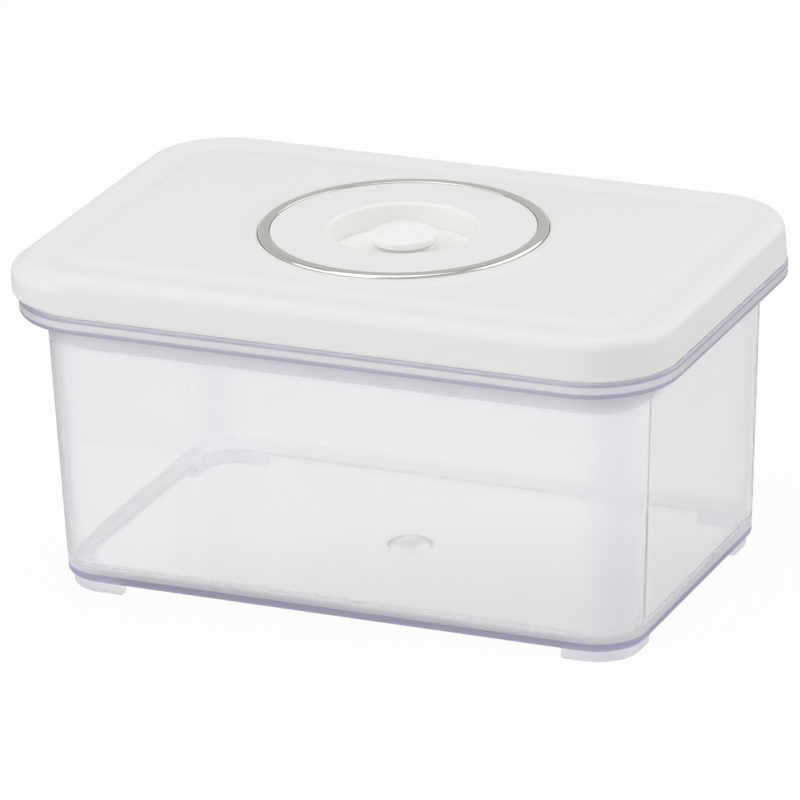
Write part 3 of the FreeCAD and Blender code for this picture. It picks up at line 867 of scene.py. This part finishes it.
@dataclass
class LidShell(Piece):
    """White lid: skirt, round shoulder, shallow valley, plateau, mound round the ring, and the pull lip."""

    finish: Material
    track: Track
    edge: float
    foot: float
    top: float
    ring: float
    ring_width: float
    wall: float = 2.2
    draft: float = 0.6
    skirt_ease: float = 0.5
    skirt_start: float = 0.06
    skirt_rows: int = 22
    shoulder: float = 4.0
    shoulder_span: Point = (6.0, 84.0)
    height: float = 12.0
    skin_depth: float = 2.4
    inner_ease: float = 1.5
    valley_inset: float = 12.0
    valley_depth: float = 0.9
    plateau_inset: float = 17.5
    plateau_rise: float = 1.2
    mound_run: float = 6.1
    mound_lip: float = 0.6
    ring_fit: float = 0.15
    ring_depth: float = 1.6
    hole_ease: float = 0.25
    hole_ledge: float = 3.3
    pull_reach: float = 2.4
    pull_sink: float = 0.7
    pull_height: float = 9.0
    pull_top_round: float = 2.8
    pull_low_round: float = 2.0
    pull_blend: float = 0.35
    pull_margin: float = 1.0
    body: str = "lid"

    @property
    def ridge(self) -> float:
        """Height of the shoulder's top."""
        return self.foot + self.height

    @property
    def valley(self) -> float:
        """Height of the valley."""
        return self.ridge - self.valley_depth

    @property
    def plateau(self) -> float:
        """Height of the plateau."""
        return self.valley + self.plateau_rise

    def profile(self) -> np.ndarray:
        """Outside from the skirt's foot over the shoulder and the valley to the plateau.

        Returns:
            Rows of reach and height.
        """
        waist, bend = self.edge - self.draft, self.ridge - self.shoulder
        valley = (self.edge - self.valley_inset, self.valley)
        rise = np.linspace(self.skirt_start, 1.0, self.skirt_rows)[:, None]
        wall = np.array([[self.edge, self.foot]]) * (1 - rise) + np.array([[waist, bend]]) * rise
        return np.concatenate([
            run((self.edge - self.skirt_ease, self.foot)),
            wall,
            rounded((waist, self.ridge), self.shoulder, *self.shoulder_span, 14),
            s_bend((waist - self.shoulder, self.ridge), valley),
            s_bend(valley, (self.edge - self.plateau_inset, self.plateau))[1:],
        ])

    def pulled(self, loops: np.ndarray) -> np.ndarray:
        """Draws the skirt out into the pull lip at one end.

        A lip's reach beyond the skirt is (pull + sink) * cosine of the angle to the pulled end, less the
        sink, and less what the rounds at its top and foot take away. Where that stands beyond the skirt it
        takes the skirt's place, through the soft maximum (a + b + root((a - b)^2 + blend^2)) / 2, which
        leaves a small fillet.

        Args:
            loops: Loops of the lid's outside.

        Returns:
            The loops with the lip in them.
        """
        towards = np.clip(-self.track.outward[:, 0], 0.0, 1.0)
        at_end = (self.track.core[:, 0] <= 0.0) & (towards > 0.0)
        stand = np.where(at_end, (self.pull_reach + self.pull_sink) * towards - self.pull_sink, -FAR)[None]
        height = loops[..., 2] - self.foot
        above = np.clip(height - (self.pull_height - self.pull_top_round), 0.0, self.pull_top_round)
        below = np.clip(self.pull_low_round - height, 0.0, self.pull_low_round)
        lost = (self.pull_top_round - np.sqrt(self.pull_top_round ** 2 - above ** 2)
                + self.pull_low_round - np.sqrt(self.pull_low_round ** 2 - below ** 2))
        lost = np.where(height > self.pull_height, FAR, lost)
        reach = ((loops[..., :2] - self.track.core[None]) * self.track.outward[None]).sum(axis=2)
        lip = self.edge + stand - lost
        soft = (reach + lip + np.sqrt((reach - lip) ** 2 + self.pull_blend ** 2)) / 2
        soft = np.clip(soft, reach, self.edge + self.pull_reach)
        moved = np.where(lip > reach - self.pull_margin, soft, reach)
        loops[..., :2] += (moved - reach)[..., None] * self.track.outward[None]
        return loops

    def build(self) -> None:
        """Builds the lid shell as one closed skin."""
        under, ledge = self.valley - self.skin_depth, self.top - self.ring_depth
        hole, bore = self.ring + self.ring_fit, self.ring - self.ring_width - self.hole_ledge
        crown = np.concatenate([
            s_bend((self.ring + self.mound_run, self.plateau), (hole + self.mound_lip, self.top), 12),
            rounded((hole, self.top), self.hole_ease, 90.0, 180.0, 4),
            run((hole, ledge), (bore, ledge), (bore, under)),
        ])
        waist, ease = self.edge - self.draft - self.wall, self.inner_ease
        inside = run((waist - ease, under), (waist, under - ease), (self.edge - self.wall, self.foot))
        loops = np.concatenate([
            self.pulled(self.track.carry(self.profile())),
            self.track.turn(crown),
            self.track.carry(inside),
        ])
        piece = make_piece("lid_top", skin(loops, Ends.JOINED))
        self.place(piece, "lid_shell", "white_plastic", self.finish)


@dataclass
class PumpSeat(Piece):
    """Middle of the lid: the bright ring, the seat for the pump with its well, and the well's floor."""

    metal: Material
    plastic: Material
    pale: Material
    soft: Material
    ring: NodeBox
    seat: NodeBox
    seal: NodeBox
    ring_width: float
    ring_round: float = 0.9
    ring_ease: float = 0.35
    well: float = 20.4
    well_draft: float = 0.4
    well_round: float = 1.2
    well_wall: float = 2.0
    well_lap: float = 0.35
    well_heel: Point = (0.15, 0.5)
    spigot: float = 34.2
    spigot_wall: float = 2.0
    spigot_depth: float = 4.6
    snap: float = 35.0
    snap_drop: float = 3.2
    snap_height: float = 1.0
    seat_depth: float = 2.1
    seat_ease: float = 0.2
    seal_width: float = 2.4
    seal_ease: float = 0.25
    columns: int = 256
    body: str = "lid"

    def build_ring(self) -> None:
        """Builds the trim ring, with its round outer shoulder and eased inner edge."""
        outer, top, foot = self.ring.radius, self.ring.top, self.ring.foot
        inner = outer - self.ring_width
        profile = np.concatenate([
            run((inner, foot), (outer, foot)),
            rounded((outer, top), self.ring_round, 0.0, 90.0, 12),
            rounded((inner, top), self.ring_ease, 90.0, 180.0, 6),
        ])
        piece = make_piece("bright_ring", skin(lathe(profile, self.columns), Ends.JOINED))
        self.place(piece, "trim_ring", "bright_trim", self.metal)

    def build_seat(self) -> None:
        """Builds the seat: flat disc, round edge into the well, the well's wall and the beaded spigot."""
        top, outer, foot = self.seat.top, self.seat.radius, self.seat.foot - self.well_lap
        under, mouth = top - self.seat_depth, self.well + self.well_draft
        spigot, tip, bead = self.spigot, under - self.spigot_depth, under - self.snap_drop
        inner = spigot - self.spigot_wall
        profile = np.concatenate([
            run((self.well, foot), (self.well + self.well_wall, foot), (mouth + self.well_wall, under),
                (inner, under), (inner, tip), (spigot, tip), (self.snap, bead - self.snap_height),
                (spigot, bead), (spigot, under), (outer, under)),
            rounded((outer, top), self.seat_ease, 0.0, 90.0, 3),
            rounded((mouth, top), self.well_round, 90.0, 180.0, 9),
            run((self.well + self.well_heel[0], self.seat.foot + self.well_heel[1])),
        ])
        piece = make_piece("pump_disc", skin(lathe(profile, self.columns), Ends.JOINED))
        self.place(piece, "pump_seat", "white_plastic", self.plastic)

    def build_plate_seal(self) -> None:
        """Builds the flat seal under the well's floor."""
        profile = flat_ring(self.seal, self.seal.radius - self.seal_width, self.seal_ease, self.seal_ease)
        piece = make_piece("well_seal", skin(lathe(profile), Ends.JOINED))
        self.place(piece, "plate_seal", "soft_seal", self.soft)

    def dress_plate(self) -> None:
        """Gives the well's floor, which stays as packed, its finish."""
        for thing in bpy.data.objects:
            if thing.type == "MESH" and thing.name.split(".")[0] == "valve_plate":
                thing.data.materials.clear()
                thing.data.materials.append(self.pale)
                LOG.info("valve_plate: dressed")

    def build(self) -> None:
        """Builds every piece of the lid's middle."""
        for step in (self.build_ring, self.build_seat, self.build_plate_seal, self.dress_plate):
            step()


@dataclass
class Valve(Piece):
    """Lift valve: the mushroom button, its washer, its clip and the spring that pulls it down."""

    plastic: Material
    soft: Material
    steel: Material
    button: NodeBox
    washer: NodeBox
    clip: NodeBox
    spring: NodeBox
    cap_height: float = 2.7
    cap_round: float = 1.1
    dimple: float = 4.6
    dimple_round: float = 0.8
    dimple_depth: float = 0.5
    dimple_dome: float = 0.22
    dome_end: float = 0.1
    neck: float = 5.0
    neck_ease: float = 0.6
    stem: float = 2.0
    stem_fit: float = 0.1
    stem_groove: float = 0.4
    stem_ease: float = 0.3
    washer_lip: float = 0.4
    washer_lip_width: float = 1.8
    washer_lip_ease: float = 0.15
    washer_ease: float = 0.4
    clip_ease: float = 0.2
    small_ease: float = 0.1
    wire: float = 0.6
    turns: int = 3
    turn_steps: int = 36
    wire_steps: int = 12
    spring_keep: float = 0.5
    columns: int = 128
    clip_columns: int = 96
    body: str = "valve"

    def build_button(self) -> None:
        """Builds the button from its tail up the stem, round the cap and into its dimple."""
        radius, top, tail = self.button.radius, self.button.top, self.button.foot
        stem, groove, ease = self.stem, self.stem - self.stem_groove, self.stem_ease
        low, neck = top - self.cap_height, self.neck
        floor, inner = top - self.dimple_depth, self.dimple - self.dimple_round
        swell = np.linspace(1.0, self.dome_end, 8)
        dome = np.stack([inner * swell, floor + self.dimple_dome * (1 - swell ** 2)], axis=1)
        profile = np.concatenate([
            run((stem - ease, tail), (stem, tail + ease), (stem, self.clip.foot), (groove, self.clip.foot),
                (groove, self.clip.top), (stem, self.clip.top), (stem, self.washer.top),
                (neck, self.washer.top), (neck, low - self.neck_ease), (neck + self.neck_ease, low)),
            rounded((radius, low), self.cap_round, -90.0, 0.0, 8),
            rounded((radius, top), self.cap_round, 0.0, 90.0, 8),
            s_bend((self.dimple, top), (inner, floor), 8),
            dome[1:],
        ])
        piece = make_piece("lift_button", skin(lathe(profile, self.columns), Ends.CAPPED))
        self.place(piece, "valve_button", "button_plastic", self.plastic)

    def build_washer(self) -> None:
        """Builds the soft washer under the button, with the lip that closes on the well's floor."""
        radius, foot, top = self.washer.radius, self.washer.foot, self.washer.top
        bore, lip = self.stem + self.stem_fit, radius - self.washer_lip_width
        face, ease = foot + self.washer_lip, self.small_ease
        profile = eased([(bore, face, ease), (lip, face, ease), (lip, foot, ease),
                         (radius, foot, self.washer_lip_ease), (radius, top, self.washer_ease),
                         (bore, top, ease)])
        piece = make_piece("valve_washer", skin(lathe(profile, self.columns), Ends.JOINED))
        self.place(piece, "valve_seal", "soft_seal", self.soft)

    def build_clip(self) -> None:
        """Builds the clip that the spring bears on."""
        bore = self.stem - self.stem_groove + self.stem_fit
        profile = flat_ring(self.clip, bore, self.small_ease, self.clip_ease)
        piece = make_piece("stem_clip", skin(lathe(profile, self.clip_columns), Ends.JOINED))
        self.place(piece, "valve_retainer", "spring_steel", self.steel)

    def build_spring(self) -> None:
        """Builds the spring: a ring of wire carried along a helix.

        The path is (R cos a, R sin a, rise * a), and each ring lies across it: R grows by wire * cos b and
        the height by wire * sin b, as b goes round the wire.
        """
        half, middle = self.wire / 2, self.spring.radius - self.wire / 2
        angle = np.linspace(0.0, 2 * np.pi * self.turns, self.turn_steps * self.turns + 1)[:, None]
        across = np.linspace(0.0, 2 * np.pi, self.wire_steps, endpoint=False)[None]
        reach = middle + half * np.cos(across)
        span = self.spring.top - self.spring.foot - self.wire
        height = self.spring.foot + half + span * angle / angle[-1] + half * np.sin(across)
        loops = np.stack([reach * np.cos(angle), reach * np.sin(angle), height], axis=2)
        piece = make_piece("lift_spring", skin(loops, Ends.CAPPED))
        self.place(piece, "valve_spring", "spring_steel", self.steel, body="lid")
        anchor = (0, 0, self.spring.top * MM)
        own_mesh(piece)

    def build(self) -> None:
        """Builds every piece of the valve."""
        for step in (self.build_button, self.build_washer, self.build_clip, self.build_spring):
            step()


@dataclass
class Liner(Piece):
    """Plug under the lid: a tray with the gasket's groove, a boss for the well's floor and air inlets."""

    plastic: Material
    soft: Material
    track: Track
    box: NodeBox
    gasket: NodeBox
    skin_depth: float = 2.0
    wall: float = 2.0
    groove_depth: float = 2.2
    groove_height: float = 4.4
    low_rib: float = 4.2
    rib_land: float = 0.6
    high_rib: float = 4.6
    ease: float = 0.4
    hub: float = 1.0
    boss: float = 26.6
    rebate: float = 25.2
    boss_bore: float = 22.0
    boss_top: float = 92.6
    boss_seat: float = 90.4
    inlets: int = 8
    inlet: float = 2.5
    inlet_ring: float = 13.0
    pin_over: float = 1.0
    pin_columns: int = 32
    gasket_fit: float = 0.1
    gasket_body: float = 1.6
    gasket_lip: float = 0.9
    gasket_lip_round: float = 0.35
    gasket_back_round: float = 0.3
    gasket_ease: float = 0.1
    body: str = "lid"

    @property
    def reach(self) -> float:
        """Reach of the plug's ribs."""
        return self.box.end - self.track.half_length

    def cutters(self) -> Thing:
        """Makes the round pins, one for each air inlet, that are cut from the tray.

        Returns:
            The pins, as one object.
        """
        pins = []
        foot, top = self.box.foot - self.pin_over, self.box.foot + self.skin_depth + self.pin_over
        for angle in np.linspace(0.0, 2 * np.pi, self.inlets, endpoint=False):
            loops = lathe(run((self.inlet, foot), (self.inlet, top)), self.pin_columns)
            loops[..., :2] += self.inlet_ring * np.array([math.cos(angle), math.sin(angle)])
            pins.append(skin(loops, Ends.CAPPED))
        return make_piece("inlet_pins", *pins)

    def build_plug(self) -> None:
        """Builds the plug: outside, tray and boss as one closed skin, and the inlets cut from it."""
        foot, top, ease, out = self.box.foot, self.box.top, self.ease, self.reach
        core, level = out - self.groove_depth, foot + self.skin_depth
        tray, lead = core - self.wall, self.low_rib - self.rib_land
        low = foot + self.low_rib
        high = low + self.groove_height
        crest = high + self.high_rib
        outside = np.concatenate([
            rounded((out, foot), lead, -90.0, 0.0, 10),
            rounded((out, low), ease, 0.0, 90.0, 4),
            run((core, low), (core, high)),
            rounded((out, high), ease, -90.0, 0.0, 4),
            rounded((out, crest), ease, 0.0, 90.0, 4),
            run((core, crest), (core, top), (tray, top), (tray, level)),
        ])
        boss = run((self.boss, level), (self.boss, self.boss_top), (self.rebate, self.boss_top),
                   (self.rebate, self.boss_seat), (self.boss_bore, self.boss_seat), (self.boss_bore, level),
                   (self.hub, level))
        start = run((self.hub, foot), (self.boss, foot))
        loops = np.concatenate([self.track.turn(start), self.track.carry(outside), self.track.turn(boss)])
        piece = make_piece("lid_plug", skin(loops, Ends.CAPPED))
        pins = self.cutters()
        cut = piece.modifiers.new("inlets", "BOOLEAN")
        cut.operation, cut.solver, cut.object = "DIFFERENCE", "EXACT", pins
        shaped = bpy.data.meshes.new_from_object(piece.evaluated_get(bpy.context.evaluated_depsgraph_get()))
        piece.modifiers.remove(cut)
        piece.data = shaped
        bpy.data.objects.remove(pins)
        self.place(piece, "lid_liner", "liner_plastic", self.plastic)

    def build_gasket(self) -> None:
        """Builds the soft gasket in the plug's groove, with its two lips towards the tub's wall."""
        foot, top = self.gasket.foot, self.gasket.top
        tip = self.gasket.end - self.track.half_length
        inner = self.reach - self.groove_depth + self.gasket_fit
        back, low, high = inner + self.gasket_body, foot + self.gasket_lip, top - self.gasket_lip
        ease, lip, hollow = self.gasket_ease, self.gasket_lip_round, self.gasket_back_round
        profile = eased([(inner, foot, ease), (tip, foot, lip), (tip, low, lip), (back, low, hollow),
                         (back, high, hollow), (tip, high, lip), (tip, top, lip), (inner, top, ease)])
        piece = make_piece("lid_seal_ring", skin(self.track.carry(profile), Ends.JOINED))
        self.place(piece, "lid_gasket", "soft_seal", self.soft)

    def build(self) -> None:
        """Builds the plug and its gasket."""
        self.build_plug()
        self.build_gasket()


# Studio


def stand(thing: Thing, place: Place | np.ndarray, axes: list[np.ndarray]) -> None:
    """Puts a thing into the scene at a place, with its own three axes along the given directions."""
    thing.matrix_world = Matrix.Translation(place) @ Matrix(np.stack(axes, axis=1).tolist()).to_4x4()
    bpy.context.scene.collection.objects.link(thing)


@dataclass(frozen=True)
class Lamp:
    """A soft rectangular lamp that points at the canister."""

    name: str
    place: Place
    size: Point
    power: float
    aim: Place = (0.0, 0.0, 0.06)

    def make(self) -> None:
        """Hangs the lamp and turns it towards its aim."""
        light = bpy.data.lights.new(self.name, "AREA")
        light.shape = "RECTANGLE"
        light.size, light.size_y = self.size
        light.energy = self.power
        back = np.array(self.place) - self.aim
        back /= np.linalg.norm(back)
        right = np.cross((0.0, 0.0, 1.0), back)
        right /= np.linalg.norm(right)
        stand(bpy.data.objects.new(self.name, light), self.place, [right, np.cross(back, right), back])


@dataclass(frozen=True)
class Camera:
    """The photograph's viewpoint: angles in degrees, the lens and its sensor in millimetres."""

    azimuth: float = 23.539
    elevation: float = 20.912
    roll: float = 1.433
    distance: float = 2.0947
    target: Place = (-0.00239, 0.0, 0.04841)
    lens: float = 333.86
    sensor: float = 36.0
    farthest: float = 20.0

    def make(self) -> None:
        """Places the camera and makes it the scene's own."""
        azimuth, elevation, roll = np.radians([self.azimuth, self.elevation, self.roll])
        level = np.array([math.cos(azimuth), math.sin(azimuth), 0.0])
        outward = np.array([math.sin(azimuth), -math.cos(azimuth), 0.0])
        back = outward * math.cos(elevation) + (0.0, 0.0, math.sin(elevation))
        upright = np.cross(back, level)
        right = math.cos(roll) * level - math.sin(roll) * upright
        up = math.cos(roll) * upright + math.sin(roll) * level
        data = bpy.data.cameras.new("viewpoint")
        data.lens, data.sensor_width, data.clip_end = self.lens, self.sensor, self.farthest
        camera = bpy.data.objects.new("viewpoint", data)
        stand(camera, np.array(self.target) + back * self.distance, [right, up, back])
        bpy.context.scene.camera = camera


@dataclass(frozen=True)
class Studio:
    """White table and backdrop, soft lamps and the camera."""

    fill: float = 0.44
    through: float = 1.0
    horizon: float = 0.72
    zenith: float = 0.52
    floor_half: float = 3.0
    floor_drop: float = 0.00005
    floor_grey: Colour = (0.88, 0.88, 0.88)
    floor_white: float = 0.93
    floor_through: float = 0.1
    floor_mirror: float = 0.45
    # direction and span of a painted shadow: the table's white, seen through the tub or off a glossy face,
    # falls towards the front right
    painted_shadow_slope: Point = (-0.45, 0.85)
    painted_shadow_span: Point = (-0.055, 0.024)
    bounces: int = 32
    matt_bounces: int = 10
    lamps: tuple[Lamp, ...] = (
        Lamp("top_lamp", (-0.1, -0.25, 1.6), (1.4, 1.4), 8.4),
        Lamp("left_lamp", (-0.9, -1.25, 0.75), (2.4, 1.4), 10.2),
        Lamp("right_lamp", (1.3, 0.8, 0.85), (2.4, 1.4), 11.3),
    )

    def make_world(self) -> None:
        """Makes the surroundings: white where they are seen, else a soft fill that dims upwards."""
        world = bpy.data.worlds.new("surroundings")
        bpy.context.scene.world = world
        graph = Graph(world)
        direct, through, glossy = graph.ray("Camera"), graph.ray("Transmission"), graph.ray("Glossy")
        place = graph.add("ShaderNodeTexCoord", output="Generated")
        height = graph.add("ShaderNodeSeparateXYZ", sockets={"Vector": place}, output="Z")
        mirrored = self.horizon + (self.zenith - self.horizon) * height.at_most(1.0)
        lit = through * self.through + (1 - through) * (glossy * mirrored + (1 - glossy) * self.fill)
        strength = direct + (1 - direct) * lit
        shader = graph.add("ShaderNodeBackground", sockets={"Color": WHITE, "Strength": strength})
        graph.add("ShaderNodeOutputWorld", sockets={"Surface": shader})

    def dress_floor(self) -> Material:
        """Makes the table's finish: white where it is seen, and part matt so that it keeps the shadow.

        Returns:
            The material.
        """
        material = bpy.data.materials.new("white_table")
        graph = Graph(material)
        direct, through, glossy = graph.ray("Camera"), graph.ray("Transmission"), graph.ray("Glossy")
        strength = direct + (1 - direct) * (through * self.through + (1 - through) * self.floor_mirror)
        matt = graph.add("ShaderNodeBsdfDiffuse", sockets={"Color": (*self.floor_grey, 1.0)})
        white = graph.add("ShaderNodeEmission", sockets={"Color": WHITE, "Strength": strength})
        # painted shadow: seen through the tub or off a glossy face, the white fades from floor_white to
        # floor_through towards the front right
        low, high = self.painted_shadow_span
        away = graph.along("X") * self.painted_shadow_slope[0] + graph.along("Y") * self.painted_shadow_slope[1]
        away = ((away - low) * (1.0 / (high - low))).clamped()
        bent = (1 - direct) * (through + glossy).at_most(1.0)
        painted_shadow_white = self.floor_through + (self.floor_white - self.floor_through) * away
        seen = direct * self.floor_white + bent * painted_shadow_white
        shader = graph.add("ShaderNodeMixShader", sockets={0: seen, 1: matt, 2: white})
        graph.add("ShaderNodeOutputMaterial", sockets={"Surface": shader})
        return material

    def make_floor(self) -> None:
        """Makes the table, a square just under the feet."""
        corners = np.array([[-1, -1, 0], [1, -1, 0], [1, 1, 0], [-1, 1, 0]]) * self.floor_half
        mesh = bpy.data.meshes.new("table")
        mesh.from_pydata(corners - (0.0, 0.0, self.floor_drop), [], [[0, 1, 2, 3]])
        mesh.materials.append(self.dress_floor())
        table = bpy.data.objects.new("table", mesh)
        bpy.context.scene.collection.objects.link(table)

    def build(self) -> None:
        """Sets up the surroundings, the lamps and the camera."""
        self.make_world()
        self.make_floor()
        for lamp in self.lamps:
            lamp.make()
        Camera().make()
        scene = bpy.context.scene
        scene.view_settings.view_transform = "Standard"
        for kind in ("max", "glossy", "transmission"):
            setattr(scene.cycles, f"{kind}_bounces", self.bounces)
        scene.cycles.diffuse_bounces = self.matt_bounces


@dataclass
class Canister:
    """The whole canister, with the sizes that its parts share."""

    core_length: float = 73.4
    core_width: float = 40.2
    foot_run: float = 6.6
    ring_width: float = 3.2
    # radius of the well where white plastic is painted paler, as painted light against its shade
    painted_well_lift_radius: float = 22.0

    def build(self) -> None:
        """Makes the finishes, and builds every sub-assembly in order."""
        core = (self.core_length, self.core_width)
        tub_track, lid_track = Track(*core, foot_run=self.foot_run), Track(*core)
        clear, white, pale, soft, button, liner, bright, steel = (finish.make() for finish in (
            ClearPlastic("clear_plastic", core),
            MouldedPlastic("white_plastic", (0.87, 0.87, 0.86), painted_well_lift_radius=self.painted_well_lift_radius),
            MouldedPlastic("pale_plastic", (0.935, 0.945, 0.91), roughness=0.36),
            MouldedPlastic("soft_seal", (0.95, 0.95, 0.94), roughness=0.55, specular=0.35, translucence=0.3),
            MouldedPlastic("button_plastic", (0.96, 0.96, 0.95), roughness=0.34, translucence=0.15),
            MouldedPlastic("liner_plastic", (0.94, 0.94, 0.93), roughness=0.45),
            BrightMetal("bright_trim", (0.71, 0.71, 0.665)),
            BrightMetal("spring_steel", (0.62, 0.62, 0.63), roughness=0.24)))
        tub, lid, ring, seat, seal, plug, gasket = (NodeBox.read(node) for node in (
            "tub", "lid_shell", "trim_ring", "pump_seat", "plate_seal", "lid_liner", "lid_gasket"))
        valve = (NodeBox.read(f"valve_{name}") for name in ("button", "seal", "retainer", "spring"))
        Tub(clear, tub_track, tub.top, tub.end - self.core_length).build()
        LidShell(white, lid_track, lid.end - self.core_length, lid.foot, lid.top, ring.radius,
                 self.ring_width).build()
        PumpSeat(bright, white, pale, soft, ring, seat, seal, self.ring_width).build()
        Valve(button, soft, steel, *valve).build()
        Liner(liner, soft, lid_track, plug, gasket).build()


def main() -> None:
    """Loads the frame, and builds the canister and its studio."""
    logging.basicConfig(level=logging.INFO, format="%(message)s")
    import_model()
    Canister().build()
    Studio().build()


if __name__ == "__main__":
    main()
